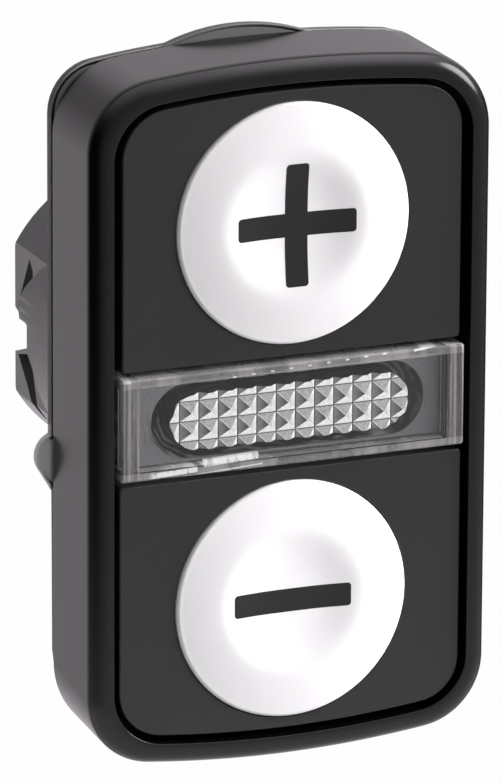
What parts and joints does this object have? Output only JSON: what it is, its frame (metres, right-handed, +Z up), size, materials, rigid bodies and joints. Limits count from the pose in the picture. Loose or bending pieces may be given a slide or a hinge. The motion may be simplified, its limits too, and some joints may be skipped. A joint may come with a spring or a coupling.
{
  "type": "double push button",
  "caption": "Panel-mounted double push button head: two caps with white plus and minus discs above and below a clear prismatic pilot lens, in a rounded frame with a gasket and barrel.",
  "frame": {"origin": "on the barrel's axis, in the plane of the panel's front face, where the gasket's rear face meets it", "axes": "+Y along the barrel, away from the viewer; -Y is the front, +X to the right seen from the front, +Z up along the frame's long side"},
  "size_m": [0.0307, 0.0294, 0.0508],
  "materials": {
    "frame_plastic": "satin near-black moulding, finely grained side walls",
    "body_plastic": "plain dark grey moulding",
    "gasket_rubber": "matt dark grey rubber",
    "cap_plastic": "smooth satin near-black",
    "disc_plastic": "smooth glossy white",
    "mark_plastic": "flush black inlay",
    "clear_lens": "clear polished plastic",
    "clear_prism": "clear plastic with a field of sharp pyramids",
    "reflector_plastic": "grey moulding with a bright bowl",
    "plunger_plastic": "natural light plastic",
    "spring_steel": "drawn steel wire",
    "seal_rubber": "black rubber"
  },
  "bodies": {
    "housing": {"bezel": "frame_plastic", "body": "body_plastic", "panel_gasket": "gasket_rubber", "upper_spring": "spring_steel", "lower_spring": "spring_steel", "upper_stem_seal": "seal_rubber", "lower_stem_seal": "seal_rubber", "lens_cover": "clear_lens", "lens_seal": "seal_rubber", "reflector": "reflector_plastic", "prism_diffuser": "clear_prism", "light_guide": "clear_prism"},
    "upper_button": {"upper_cap": "cap_plastic", "upper_disc": "disc_plastic", "upper_plus_mark": "mark_plastic", "upper_plunger": "plunger_plastic", "upper_foot": "plunger_plastic"},
    "lower_button": {"lower_cap": "cap_plastic", "lower_disc": "disc_plastic", "lower_minus_mark": "mark_plastic", "lower_plunger": "plunger_plastic", "lower_foot": "plunger_plastic"}
  },
  "joints": [
    {"name": "upper_press", "type": "slide", "parent": "housing", "child": "upper_button", "axis": [0, 1, 0], "range_m": [0, 0.004], "stiffness_N_per_m": 400, "springref_m": -0.006, "deforming": ["upper_spring"]},
    {"name": "lower_press", "type": "slide", "parent": "housing", "child": "lower_button", "axis": [0, 1, 0], "range_m": [0, 0.004], "stiffness_N_per_m": 400, "springref_m": -0.006, "deforming": ["lower_spring"]}
  ]
}
